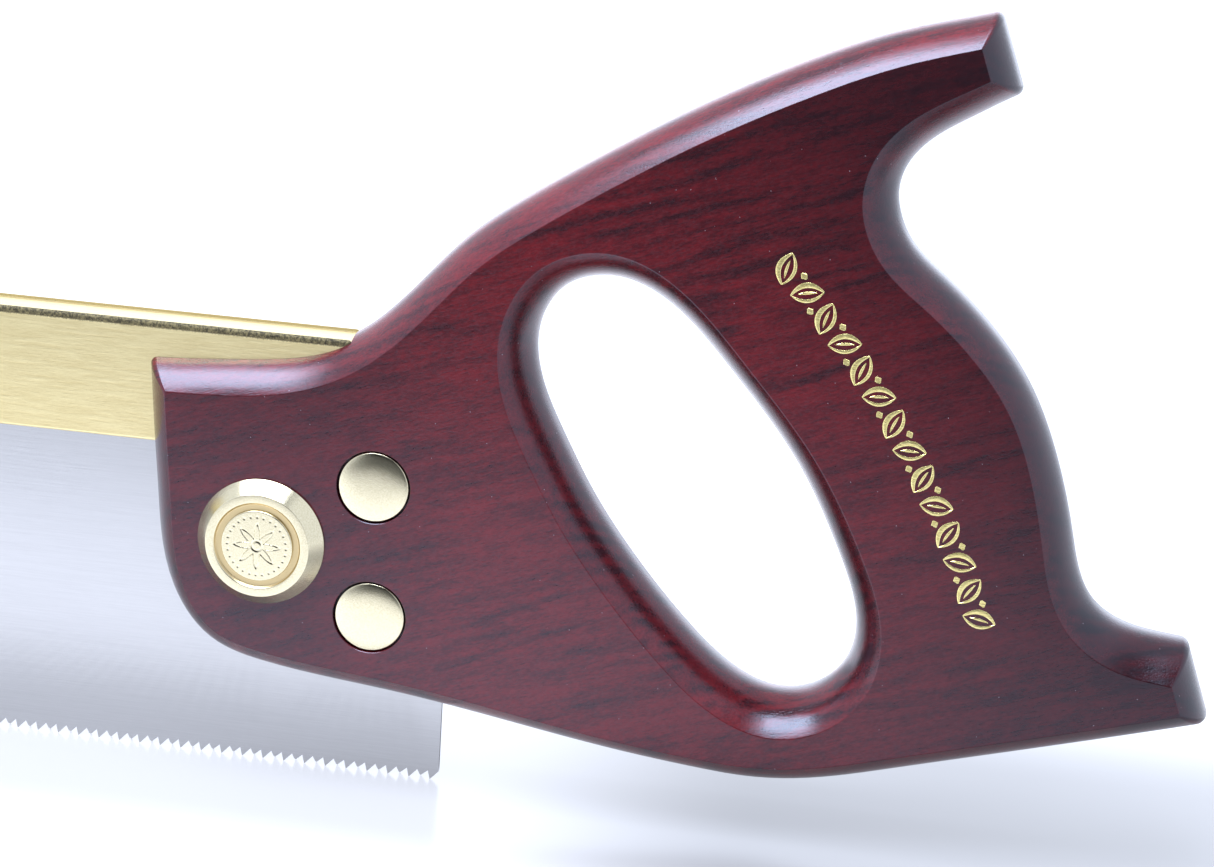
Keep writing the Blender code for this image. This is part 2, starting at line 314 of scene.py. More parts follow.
def rounded(corners, closed, steps=5):
    """The polyline through corners (a, b, radius), with each corner turned into an arc."""
    count = len(corners)
    line = []
    for i, (a, b, radius) in enumerate(corners):
        here = np.array((a, b), float)
        if radius == 0 or (not closed and i in (0, count - 1)):
            line.append(tuple(here))
            continue
        before = np.array(corners[i - 1][:2], float) - here
        after = np.array(corners[(i + 1) % count][:2], float) - here
        before /= np.linalg.norm(before)
        after /= np.linalg.norm(after)
        half = math.acos(np.clip(before @ after, -1, 1)) / 2
        middle = (before + after) / np.linalg.norm(before + after)
        centre = here + middle * radius / math.sin(half)
        start = here + before * radius / math.tan(half) - centre
        end = here + after * radius / math.tan(half) - centre
        first = math.atan2(start[1], start[0])
        turn = (math.atan2(end[1], end[0]) - first + math.pi) % (2 * math.pi) - math.pi
        for k in range(steps + 1):
            angle = first + turn * k / steps
            line.append((centre[0] + radius * math.cos(angle), centre[1] + radius * math.sin(angle)))
    return line


def ring_of(bm, x, z, radius, heights):
    """Vertices on a circle about the line through (x, z) along Y, one for each y in heights."""
    ring = []
    for angle, y in zip(2 * math.pi * np.arange(len(heights)) / len(heights), heights):
        ring.append(bm.verts.new((x + radius * math.cos(angle), y, z + radius * math.sin(angle))))
    return ring


def turned(profile, x, z, sides=ROUND_SIDES):
    """A closed solid of revolution about the line through (x, z) along Y. Profile: (radius, y)."""
    bm = bmesh.new()
    rings = []
    for radius, y in profile:
        if radius < 1e-6:
            rings.append([bm.verts.new((x, y, z))])
        else:
            rings.append(ring_of(bm, x, z, radius, [y] * sides))
    for one, two in zip(rings, rings[1:]):
        for i in range(sides):
            j = (i + 1) % sides
            corners = [one[i % len(one)], one[j % len(one)], two[j % len(two)], two[i % len(two)]]
            bm.faces.new(dict.fromkeys(corners))
    return bm


def spline(points, spans, closed=False):
    """Points along the cubic spline through the given ones, with spans steps between neighbours."""
    given = np.array(points, float)
    if closed:
        given = np.vstack([given, given[:1]])
    steps = np.sqrt(((given[1:, :2] - given[:-1, :2]) ** 2).sum(axis=1))
    count = len(given)
    system = np.zeros((count, count))
    right = np.zeros_like(given)
    for i in range(1, count - 1):
        before, after = steps[i - 1], steps[i]
        system[i, i - 1 : i + 2] = before, 2 * (before + after), after
        right[i] = 6 * ((given[i + 1] - given[i]) / after - (given[i] - given[i - 1]) / before)
    system[0, 0] = 1
    system[-1, -1] = 1
    if closed:
        before, after = steps[-1], steps[0]
        system[0, :2] = 2 * (before + after), after
        system[0, -2] = before
        right[0] = 6 * ((given[1] - given[0]) / after - (given[0] - given[-2]) / before)
        system[-1, 0] = -1
    bend = np.linalg.solve(system, right)
    found = []
    for i, step in enumerate(steps):
        for t in np.arange(spans) / spans:
            a, b = (1 - t) * step, t * step
            found.append(
                (bend[i] * a**3 + bend[i + 1] * b**3) / (6 * step)
                + (given[i] / step - bend[i] * step / 6) * a
                + (given[i + 1] / step - bend[i + 1] * step / 6) * b
            )
    if not closed:
        found.append(given[-1])
    return np.array(found)


# ---------------------------------------------------------------- wooden handle


def edge_section(swell):
    """The rounded edge's section from one flat face to the other, with a small fillet at each rim."""
    half = THICKNESS / 2
    radius = (half**2 + swell**2) / (2 * swell)
    middle = swell - radius
    fillet_out = middle + math.sqrt((radius - RIM_FILLET) ** 2 - (half - RIM_FILLET) ** 2)
    fillet_y = half - RIM_FILLET
    meet = math.atan2(-fillet_y, fillet_out - middle)
    turns = np.linspace(-math.pi / 2, meet, FILLET_STEPS + 1)
    arc = np.linspace(meet, -meet, ARC_STEPS + 1)[1:-1]
    fillet = np.stack([fillet_out + RIM_FILLET * np.cos(turns), -fillet_y + RIM_FILLET * np.sin(turns)])
    body = np.stack([middle + radius * np.cos(arc), radius * np.sin(arc)])
    mirrored = fillet[:, ::-1] * np.array([[1.0], [-1.0]])
    return np.hstack([fillet, body, mirrored])


def handle_stations():
    """Stations round the flat face's edge: (point, [(normal, swell), ...], how far through its corner)."""
    stations = []
    for run, spans in RUN_SPANS:
        points = spline(run, spans)
        tangents = np.gradient(points[:, :2], axis=0)
        tangents /= np.linalg.norm(tangents, axis=1)[:, None]
        sides = [(np.array((-t[1], t[0])), p[2]) for t, p in zip(tangents, points)]
        stations.append([(p[:2], side) for p, side in zip(points, sides)])
    found = []
    for i, run in enumerate(stations):
        corner, side = run[0]
        last_side = stations[i - 1][-1][1]
        for k in range(CORNER_STEPS + 1):
            found.append((corner, [last_side, side], k / CORNER_STEPS))
        found += [(point, [side], 0) for point, side in run[1:-1]]
    return found


def hole_stations():
    points = spline(HAND_HOLE, HAND_HOLE_SPANS, closed=True)
    tangents = np.roll(points[:, :2], -1, axis=0) - np.roll(points[:, :2], 1, axis=0)
    tangents /= np.linalg.norm(tangents, axis=1)[:, None]
    return [(p[:2], [(np.array((t[1], -t[0])), p[2])], 0) for p, t in zip(points, tangents)]


def station_line(point, sides, through):
    """The section's points at one station, in the handle's frame. A corner is rounded more at its crest."""
    out, y = edge_section(sides[0][1])
    if len(sides) == 1:
        x, z = point[:, None] + sides[0][0][:, None] * out
        return x, y, z
    other_out, other_y = edge_section(sides[1][1])
    share = np.clip(out / sides[0][1], 0, 1)
    radius = CORNER_AT_RIM + (CORNER_AT_CREST - CORNER_AT_RIM) * share
    normals = np.array([sides[0][0], sides[1][0]])
    centre = point[:, None] + np.linalg.solve(normals, np.stack([out - radius, other_out - radius]))
    first = math.atan2(normals[0][1], normals[0][0])
    turn = (math.atan2(normals[1][1], normals[1][0]) - first + math.pi) % (2 * math.pi) - math.pi
    angle = first + turn * through
    x, z = centre + radius * np.array([[math.cos(angle)], [math.sin(angle)]])
    return x, (y + other_y) / 2, z


def rounded_edge(bm, stations):
    """The rounded edge round one outline. It returns the outline's vertices on the two flat faces."""
    lines = []
    for station in stations:
        lines.append([bm.verts.new(co) for co in zip(*station_line(*station))])
    for i, line in enumerate(lines):
        after = lines[(i + 1) % len(lines)]
        for k in range(len(line) - 1):
            bm.faces.new((line[k], after[k], after[k + 1], line[k + 1]))
    return [line[0] for line in lines], [line[-1] for line in lines]


def loop_edges(bm, ring):
    return [bm.edges.get((ring[i - 1], ring[i])) for i in range(len(ring))]


def bolt_hole(name):
    """The counterbores for one nut and its screw, each with a slightly eased rim."""
    face = THICKNESS / 2
    past = 5.0
    ease = 0.08
    seat = face + HEAD_PROUD - HEAD_DEPTH - 0.1
    wide = HEAD_RADIUS + HEAD_GAP
    narrow = BARREL_RADIUS + BORE_GAP
    near = [(0, -face - past), (wide + ease, -face - past), (wide + ease, -face), (wide, -face + ease)]
    near += [(wide, -seat), (narrow, -seat)]
    if name == "medallion":
        near = [(0, -face - past), (narrow, -face - past)]
    far = [(narrow, seat), (wide, seat), (wide, face - ease), (wide + ease, face), (wide + ease, face + past)]
    return near + far + [(0, face + past)]


def make_handle(finish):
    bm = bmesh.new()
    outer = rounded_edge(bm, handle_stations())
    inner = rounded_edge(bm, hole_stations())
    for outside, inside in zip(outer, inner):
        edges = loop_edges(bm, outside) + loop_edges(bm, inside)
        bmesh.ops.triangle_fill(bm, use_beauty=True, edges=edges)
    handle = finish_object(bm, "handle_wood", finish)
    past = 30.0
    kerf = PLATE_THICKNESS / 2 + SNUG
    front = TOP_RUN[0][0] - past
    side = BACK_WIDTH / 2 + SNUG
    rear = BACK_REAR + SNUG + BACK_REAR_SKEW * BACK_WIDTH / 2
    cutters = [
        finish_object(box_mesh((front, -kerf, -past), (SNUG, kerf, PLATE_TOP + SNUG)), "kerf", finish),
        finish_object(
            box_mesh((front, -side, BACK_BOTTOM - SNUG), (rear, side, BACK_TOP + past)), "mortise", finish
        ),
    ]
    for name, (x, z) in NUT_PLACES.items():
        cutters.append(finish_object(turned(bolt_hole(name), x, z), name + "_hole", finish))
    cut_away(handle, cutters)
    weigh_normals(handle)
    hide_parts("handle")
    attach(handle, "root")


# ---------------------------------------------------------------- brass nuts and screws


def nut_barrel():
    """The nut's barrel, with the blind bore that its screw goes into, as (radius, y, rounding)."""
    bore = SHANK_RADIUS + 0.1
    bottom = SHANK_END - 0.3
    return [(BARREL_RADIUS, BARREL_END, 0.2), (bore, BARREL_END, 0.2), (bore, bottom, 0), (0, bottom, 0)]


def domed_face(direction):
    """A slightly crowned head with a rounded rim, as (radius, y, rounding). direction is the face's side."""
    face = THICKNESS / 2 + HEAD_PROUD
    crown = [(0.0, 0.0), (0.3, 0.015), (0.5, 0.06), (0.65, 0.12), (0.78, 0.20), (0.88, 0.29)]
    points = [(share * HEAD_RADIUS, direction * (face - fall), 0) for share, fall in crown]
    points.append((HEAD_RADIUS, direction * (face - 0.42), 0.3))
    points.append((HEAD_RADIUS, direction * (face - HEAD_DEPTH), 0))
    return points


def make_nut(name, finish):
    profile = domed_face(-1) + [(BARREL_RADIUS, -(THICKNESS / 2 + HEAD_PROUD - HEAD_DEPTH), 0)] + nut_barrel()
    x, z = NUT_PLACES[name]
    nut = finish_object(turned(rounded(profile, False), x, z), name + "_nut_brass", finish)
    weigh_normals(nut)
    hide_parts(name + "_nut")
    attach(nut, "root")


def make_screw(name, finish):
    x, z = NUT_PLACES[name]
    face = THICKNESS / 2 + HEAD_PROUD
    profile = domed_face(1) + [(SHANK_RADIUS, face - HEAD_DEPTH, 0.2), (SHANK_RADIUS, SHANK_END + 0.5, 0)]
    profile += [(SHANK_RADIUS - 0.5, SHANK_END, 0), (0, SHANK_END, 0)]
    screw = finish_object(turned(rounded(profile, False), x, z), name + "_screw_brass", finish)
    reach = HEAD_RADIUS + 1.0
    ease = 0.12
    half = SLOT_WIDTH / 2
    bm = bmesh.new()
    floor = face - SLOT_DEPTH
    wide = half + ease
    section = [(-half, floor), (half, floor), (half, face - ease), (wide, face + 0.05)]
    section += [(wide, face + 1), (-wide, face + 1), (-wide, face + 0.05), (-half, face - ease)]
    ends = [[bm.verts.new((x + a, y, z + b)) for b, y in section] for a in (-reach, reach)]
    bm.faces.new(ends[0])
    bm.faces.new(reversed(ends[1]))
    for i in range(len(section)):
        bm.faces.new((ends[0][i - 1], ends[1][i - 1], ends[1][i], ends[0][i]))
    cut_away(screw, [finish_object(bm, name + "_slot", finish)])
    weigh_normals(screw)
    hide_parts(name + "_screw")
    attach(screw, "root")


def rosette(radius, angle):
    """How far the medallion's disc is sunk: eight petals round a small ring, in a circle of fine dots."""
    petal = np.abs(np.sin(4 * angle))
    painted_reflection_and_shade = ROSETTE_PETAL_FOOT + ROSETTE_PETAL_LENGTH * (1 - petal**1.5)
    outline = np.exp(-(((radius - painted_reflection_and_shade) / 0.16) ** 2)) * (radius > 1.0)
    ring = np.exp(-(((radius - ROSETTE_RING) / 0.14) ** 2))
    dots = np.exp(-(((radius - ROSETTE_DOTS) / 0.16) ** 2)) * (np.cos(28 * angle) > 0.6)
    return 0.10 * outline + 0.10 * ring + 0.05 * dots


def make_medallion_disc(x, z, top, finish):
    """The disc inside the groove, with a shallow generic rosette struck into it."""
    inner = MEDALLION_GROOVE[1]
    bm = bmesh.new()
    rim = 0.12
    below = 0.6
    angles = 2 * math.pi * np.arange(ROSETTE_SIDES) / ROSETTE_SIDES
    middle = bm.verts.new((x, top, z))
    rings = []
    for radius in np.linspace(rim, inner - rim, ROSETTE_RINGS):
        rings.append(ring_of(bm, x, z, radius, top + rosette(radius, angles)))
    rings.append(ring_of(bm, x, z, inner, [top + 0.15] * ROSETTE_SIDES))
    rings.append(ring_of(bm, x, z, inner, [top + below] * ROSETTE_SIDES))
    base = bm.verts.new((x, top + below, z))
    for i in range(ROSETTE_SIDES):
        bm.faces.new((middle, rings[0][i - 1], rings[0][i]))
        bm.faces.new((base, rings[-1][i], rings[-1][i - 1]))
    for one, two in zip(rings, rings[1:]):
        for i in range(ROSETTE_SIDES):
            bm.faces.new((one[i - 1], one[i], two[i], two[i - 1]))
    disc = finish_object(bm, "medallion_disc", finish, sharp=60)
    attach(disc, "root")


def make_medallion(finish):
    x, z = NUT_PLACES["medallion"]
    seat = -THICKNESS / 2
    top = seat - MEDALLION_HEIGHT
    outer, inner = MEDALLION_GROOVE
    floor = top + MEDALLION_GROOVE_DEPTH
    under_disc = top + 0.3
    profile = [(0, under_disc, 0), (inner - 0.2, under_disc, 0)]
    profile += [(inner - 0.2, floor, 0), (inner + 0.2, floor, 0)]
    profile += [(outer - 0.3, floor, 0.28), (outer, top, 0.2)]
    profile += [(MEDALLION_FLAT, top, 0.12), (MEDALLION_RADIUS, seat - 0.35, 0.25)]
    profile += [(MEDALLION_RADIUS, seat, 0), (BARREL_RADIUS, seat, 0)] + nut_barrel()
    mesh = turned(rounded(profile, False), x, z, MEDALLION_SIDES)
    medallion = finish_object(mesh, "medallion_brass", finish)
    weigh_normals(medallion)
    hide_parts("medallion_nut")
    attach(medallion, "root")
    make_medallion_disc(x, z, top, finish)


# ---------------------------------------------------------------- gold ornament


def stroke(bm, line, width, face, lift):
    """A pen stroke of foil along a line of (along, across), thick in its middle, with bevelled sides."""
    line = np.array(line, float)
    tangents = np.gradient(line, axis=0)
    tangents /= np.linalg.norm(tangents, axis=1)[:, None]
    normals = np.stack([-tangents[:, 1], tangents[:, 0]], axis=1)
    share = np.linspace(0, 1, len(line))
    half = width / 2 * (0.22 + 0.78 * np.sin(math.pi * share) ** 0.8)
    bevel = np.minimum(0.10, half * 0.5)
    sunk = face + TRIM_SUNK
    section = [(-half, sunk), (-half, face), (bevel - half, lift)]
    section += [(half - bevel, lift), (half, face), (half, sunk)]
    rows = []
    for across, y in section:
        points = line + normals * across[:, None]
        angle = TRIM_FROM - points[:, 0] / TRIM_RADIUS
        radius = TRIM_RADIUS + points[:, 1]
        x = TRIM_CENTRE[0] + radius * np.cos(angle)
        z = TRIM_CENTRE[1] + radius * np.sin(angle)
        rows.append([bm.verts.new((a, y, b)) for a, b in zip(x, z)])
    for i in range(len(rows)):
        near, far = rows[i - 1], rows[i]
        for k in range(len(line) - 1):
            bm.faces.new((near[k], near[k + 1], far[k + 1], far[k]))
    bm.faces.new([row[0] for row in rows])
    bm.faces.new([row[-1] for row in reversed(rows)])


def arc_line(start, end, bulge, count=14):
    """Points of the arc-like curve between two points that stands out sideways by bulge."""
    start, end = np.array(start, float), np.array(end, float)
    t = np.linspace(0, 1, count)[:, None]
    side = np.array((start[1] - end[1], end[0] - start[0]))
    side /= np.linalg.norm(side)
    return start + (end - start) * t + side * bulge * 4 * t * (1 - t)


def make_trim(finish):
    """A garland of slanted leaves, each with a vein, and small lozenges between them."""
    bm = bmesh.new()
    face = -THICKNESS / 2
    lift = face - TRIM_THICKNESS
    length = (TRIM_FROM - TRIM_TO) * TRIM_RADIUS
    pitch = length / TRIM_UNITS
    half = TRIM_HEIGHT / 2
    for i in range(TRIM_UNITS):
        middle = (i + 0.5) * pitch
        lean = 1 if i % 2 else -1
        foot = (middle - 1.35, -lean * half * 0.92)
        tip = (middle + 1.35, lean * half * 0.92)
        stroke(bm, arc_line(foot, tip, 1.35 * lean), 0.85, face, lift)
        stroke(bm, arc_line(foot, tip, -1.15 * lean), 0.55, face, lift - 0.004)
        vein = [(middle - 0.75, -lean * half * 0.5), (middle + 0.8, lean * half * 0.52)]
        stroke(bm, arc_line(*vein, 0.12 * lean, 8), 0.42, face, lift - 0.008)
        if i < TRIM_UNITS - 1:
            spot = (middle + pitch / 2, -lean * half * 0.55)
            stroke(bm, [(spot[0] - 0.6, spot[1]), spot, (spot[0] + 0.6, spot[1])], 1.15, face, lift - 0.002)
    trim = finish_object(bm, "gold_leaf_trim", finish)
    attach(trim, "root")


# ---------------------------------------------------------------- steel plate and brass back


def tooth_outline(side):
    """The toothed edge on one face, heel to toe: (x, y, z). Every second tooth leans to that face."""
    front = TOOTH_HEIGHT * math.tan(TOOTH_RAKE)
    points = []
    for i in range(TOOTH_COUNT):
        lean = 1 if i % 2 else -1
        here = lean == side
        points.append((-i * TOOTH_PITCH, side * PLATE_THICKNESS / 2, TOOTH_HEIGHT))
        tip = -(i + 1) * TOOTH_PITCH + front
        drop = 0.0 if here else TOOTH_BEVEL
        width = 0.12 if here else 0.3
        y = side * PLATE_THICKNESS / 2 + lean * TOOTH_SET
        points.append((tip + width, y, drop + 0.02))
        points.append((tip, y, drop))
    points.append((-PLATE_LENGTH, side * PLATE_THICKNESS / 2, TOOTH_HEIGHT))
    return points


def make_plate(finish):
    bm = bmesh.new()
    outlines = []
    for side in (-1, 1):
        y = side * PLATE_THICKNESS / 2
        points = tooth_outline(side) + [(-PLATE_LENGTH, y, PLATE_TOP), (0.0, y, PLATE_TOP)]
        outlines.append([bm.verts.new(p) for p in points])
    for i in range(len(outlines[0])):
        bm.faces.new((outlines[0][i - 1], outlines[0][i], outlines[1][i], outlines[1][i - 1]))
    count = 3 * TOOTH_COUNT + 1
    for ring in outlines:
        for i in range(TOOTH_COUNT):
            bm.faces.new(ring[3 * i : 3 * i + 4])
    holes_on_side = []
    for ring in outlines:
        gullets = [ring[3 * i] for i in range(TOOTH_COUNT + 1)]
        body = gullets + ring[count:]
        holes = []
        y = ring[0].co.y
        for x, z in NUT_PLACES.values():
            holes.append(ring_of(bm, x, z, BARREL_RADIUS + BORE_GAP, [y] * BORE_SIDES))
        edges = []
        for i in range(len(body)):
            ends = (body[i - 1], body[i])
            edges.append(bm.edges.get(ends) or bm.edges.new(ends))
        for hole in holes:
            edges += [bm.edges.new((hole[i - 1], hole[i])) for i in range(len(hole))]
        bmesh.ops.triangle_fill(bm, use_beauty=True, edges=edges)
        holes_on_side.append(holes)
    for one, two in zip(*holes_on_side):
        for i in range(len(one)):
            bm.faces.new((one[i - 1], one[i], two[i], two[i - 1]))
    plate = finish_object(bm, "plate_steel", finish, sharp=15)
    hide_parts("blade")
    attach(plate, "root")


def back_section(inset):
    """The folded strip's section, shrunk by inset: (y, z), with a slot, an eye above it and a hollow top."""
    slot = PLATE_THICKNESS / 2 + 0.03 + inset
    side = BACK_WIDTH / 2 - inset
    top = BACK_TOP - inset
    low = BACK_BOTTOM + inset
    half = [(slot, PLATE_TOP + 0.1, 0.1), (slot, low, 0.3), (side, low, 0.5), (side, top, 0.5)]
    half += [(side - BACK_LIP, top, 0.1), (side - BACK_LIP - 0.15, top - BACK_HOLLOW, 0.15)]
    left = [(-a, b, r) for a, b, r in reversed(half)]
    eye = 0.15 + inset
    low, high = PLATE_TOP + 0.8, PLATE_TOP + 3.0
    around = [(-eye, low, 0), (-eye, high, 0), (0.0, high + 0.5 + inset, 0), (eye, high, 0), (eye, low, 0)]
    return rounded(half + left + around, True, 10)


def make_back(finish):
    bm = bmesh.new()
    places = []
    for turn in np.linspace(0, math.pi / 2, 5):
        places.append((BACK_END_ROUNDING * (1 - math.sin(turn)), BACK_END_ROUNDING * (1 - math.cos(turn))))
    stops = [(-PLATE_LENGTH + along, inset) for inset, along in places]
    stops += [(BACK_REAR - along, inset) for inset, along in reversed(places)]
    rings = []
    for x, inset in stops:
        rings.append([bm.verts.new((x, a, b)) for a, b in back_section(inset)])
    for one, two in zip(rings, rings[1:]):
        for i in range(len(one)):
            bm.faces.new((one[i - 1], one[i], two[i], two[i - 1]))
    for ring in (rings[0], rings[-1]):
        edges = loop_edges(bm, ring)
        bmesh.ops.triangle_fill(bm, use_beauty=True, edges=edges)
    for vert in bm.verts:
        if vert.co.x > BACK_REAR - 2.0:
            vert.co.x -= BACK_REAR_SKEW * vert.co.y
    back = finish_object(bm, "back_brass", finish)
    weigh_normals(back)
    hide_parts("brass_back")
    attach(back, "root")


# ---------------------------------------------------------------- materials


class Surface:
    """A material's node tree, with short calls for the nodes used here."""

    def __init__(self, name):
        self.material = bpy.data.materials.new(name)
        self.material.use_nodes = True
        self.nodes = self.material.node_tree.nodes
        self.links = self.material.node_tree.links
        self.shader = self.nodes["Principled BSDF"]

    def put(self, socket, value):
        if isinstance(value, bpy.types.NodeSocket):
            self.links.new(value, socket)
        elif value is not None:
            socket.default_value = value

    def add(self, kind, inputs=(), out=0, **settings):
        node = self.nodes.new(kind)
        for key, value in settings.items():
            setattr(node, key, value)
        for key, value in dict(inputs).items():
            self.put(node.inputs[key], value)
        return node.outputs[out]

    def set(self, **values):
        for key, value in values.items():
            self.put(self.shader.inputs[key.replace("_", " ")], value)

    def millimetres(self):
        return self.scaled(self.add("ShaderNodeTexCoord", out="Object"), (1000, 1000, 1000))

    def math(self, operation, a, b=0.0, c=0.0):
        return self.add("ShaderNodeMath", {0: a, 1: b, 2: c}, operation=operation)

    def dot(self, vector, direction):
        return self.measure("DOT_PRODUCT", vector, direction)

    def measure(self, operation, vector, other=None):
        """A number from one or two vectors."""
        return self.add("ShaderNodeVectorMath", {0: vector, 1: other}, out="Value", operation=operation)

    def normal(self):
        return self.add("ShaderNodeNewGeometry", out="Normal")

    def scaled(self, vector, factors):
        return self.add("ShaderNodeVectorMath", {0: vector, 1: factors}, operation="MULTIPLY")

    def combine(self, x, y, z):
        return self.add("ShaderNodeCombineXYZ", {0: x, 1: y, 2: z})

    def noise(self, vector, scale, detail=3.0, roughness=0.5, distortion=0.0):
        inputs = {"Vector": vector, "Scale": scale, "Detail": detail}
        inputs.update({"Roughness": roughness, "Distortion": distortion})
        return self.add("ShaderNodeTexNoise", inputs, normalize=True)

    def step(self, value, low, high, bottom=0.0, top=1.0):
        """Smoothly from bottom to top as value goes from low to high."""
        inputs = {"Value": value, "From Min": low, "From Max": high, "To Min": bottom, "To Max": top}
        return self.add("ShaderNodeMapRange", inputs, interpolation_type="SMOOTHSTEP")

    def mix(self, share, one, two):
        """Colour one where share is 0, and colour two where it is 1."""
        node = self.nodes.new("ShaderNodeMix")
        node.data_type = "RGBA"
        for key, value in (("Factor_Float", share), ("A_Color", one), ("B_Color", two)):
            socket = next(s for s in node.inputs if s.identifier == key)
            self.put(socket, value)
        return next(s for s in node.outputs if s.identifier == "Result_Color")

    def bump(self, height, distance):
        return self.add("ShaderNodeBump", {"Height": height, "Distance": distance, "Strength": 1.0})


def wood_material():
    """Flat-sawn hardwood, stained wine red under satin lacquer, with a little dust and some painted shade."""
    s = Surface("stained_wood")
    where = s.millimetres()
    along = s.dot(where, GRAIN_ALONG)
    across = s.dot(where, GRAIN_ACROSS)
    deep = s.dot(where, ALONG_Y)
    height = s.dot(where, ALONG_Z)
    flat = s.math("ABSOLUTE", s.dot(s.normal(), ALONG_Y))
    end_grain = s.math("ABSOLUTE", s.dot(s.normal(), GRAIN_ALONG))

    def stretched(length, thickness):
        """Coordinates in which a feature of that length along the grain and that thickness measures 1."""
        through = s.math("DIVIDE", deep, thickness)
        return s.combine(s.math("DIVIDE", along, length), through, s.math("DIVIDE", across, thickness))

    # Growth rings, which show as dark lines, strongest on the rounded edges low down
    sway = s.noise(stretched(26, 9), 1.0, 2.0)
    layer = s.math("MULTIPLY_ADD", across, 0.75, s.math("MULTIPLY", deep, 0.60))
    layer = s.math("MULTIPLY_ADD", sway, 4.0, layer)
    ring = s.math("FRACT", s.math("DIVIDE", layer, 2.4))
    late = s.math("MULTIPLY", s.step(ring, 0.0, 0.55), s.step(ring, 0.60, 1.0, 1.0, 0.0))
    figure = s.step(s.noise(stretched(30, 4.0), 1.0, 2.0), 0.38, 0.62)
    striped = s.math("MULTIPLY", s.step(flat, 0.60, 0.90, 0.14, 0.0), s.step(height, 45.0, 65.0, 1.0, 0.0))
    strength = s.math("ADD", striped, s.step(height, 45.0, 95.0, 0.07, 0.13))
    late = s.math("MULTIPLY", s.math("MULTIPLY", late, figure), strength)

    # Fibres and pores
    broad = s.noise(stretched(24, 4.5), 1.0, 3.0, 0.5, 0.3)
    streak = s.noise(stretched(6.0, 1.2), 1.0, 4.0, 0.6, 0.4)
    fibre = s.noise(stretched(1.3, 0.32), 1.0, 3.0, 0.6, 0.5)
    pore = s.step(s.noise(stretched(1.3, 0.22), 1.0, 1.0, 0.5), 0.60, 0.72)
    shade = s.math("MULTIPLY_ADD", broad, 0.25, s.math("MULTIPLY", streak, 0.35))
    shade = s.math("MULTIPLY_ADD", fibre, 0.40, shade)
    shade = s.math("SUBTRACT", shade, late)
    colour = s.mix(s.step(shade, 0.27, 0.66), (0.028, 0.0040, 0.0060, 1), (0.136, 0.0080, 0.0108, 1))
    colour = s.mix(s.math("MULTIPLY", pore, 0.4), colour, (0.010, 0.004, 0.006, 1))
    haze = s.step(s.noise(stretched(0.55, 0.36), 1.0, 3.0, 0.6), 0.42, 0.70)
    colour = s.mix(s.math("MULTIPLY", haze, 0.15), colour, (0.085, 0.050, 0.058, 1))

    # The wood is darker far from the middle, partly from its stain and partly as painted shade; darker on end
    # grain from its stain; and darker in the hollow above the lower horn as painted shade
    # Darker away from the middle: partly real stain, partly painted shade standing in for light falling off
    from_middle = s.measure("DISTANCE", where, STAIN_AND_SHADE_MIDDLE)
    stain_and_shade_faces = s.math("MAXIMUM", s.step(flat, 0.55, 0.95), s.step(end_grain, 0.35, 0.80))
    depth = s.step(height, 25.0, 60.0, 0.75, 1.0)
    depth = s.math("MULTIPLY", depth, s.step(from_middle, 42.0, 96.0, 0.0, 0.72))
    depth = s.math("MAXIMUM", depth, s.step(s.dot(where, ALONG_X), 38.0, 74.0, 0.30, 0.0))
    depth = s.math("MULTIPLY", stain_and_shade_faces, depth)
    # Painted shade in the hollow above the lower horn
    from_hollow = s.measure("DISTANCE", where, LOWER_HOLLOW)
    depth = s.math("MAXIMUM", depth, s.step(from_hollow, 11.0, 18.0, 0.70, 0.0))
    depth = s.math("MULTIPLY", s.math("SUBTRACT", 1.0, depth), s.step(end_grain, 0.40, 0.95, 1.0, 0.60))
    colour = s.mix(depth, (0.004, 0.003, 0.005, 1), colour)

    # Specks of dust
    cells = s.nodes.new("ShaderNodeTexVoronoi")
    s.put(cells.inputs["Vector"], where)
    s.put(cells.inputs["Scale"], 0.5)
    chosen = s.math("GREATER_THAN", s.dot(cells.outputs["Color"], ALONG_X), 0.42)
    dust = s.math("MULTIPLY", s.math("LESS_THAN", cells.outputs["Distance"], 0.038), chosen)
    colour = s.mix(s.math("MULTIPLY", dust, 0.6), colour, (0.36, 0.31, 0.35, 1))

    # The lacquer
    grit = s.noise(where, 3.2, 3.0, 0.6)
    gloss = s.math("MULTIPLY_ADD", fibre, 0.08, 0.15)
    s.set(Base_Color=colour, Roughness=gloss, Specular_IOR_Level=0.62, Specular_Tint=(0.75, 0.84, 1.0, 1))
    relief = s.math("MULTIPLY_ADD", fibre, 0.4, s.math("MULTIPLY", grit, 0.4))
    relief = s.math("MULTIPLY_ADD", pore, -0.15, relief)
    s.set(Normal=s.bump(relief, 0.00004))
    return s.material


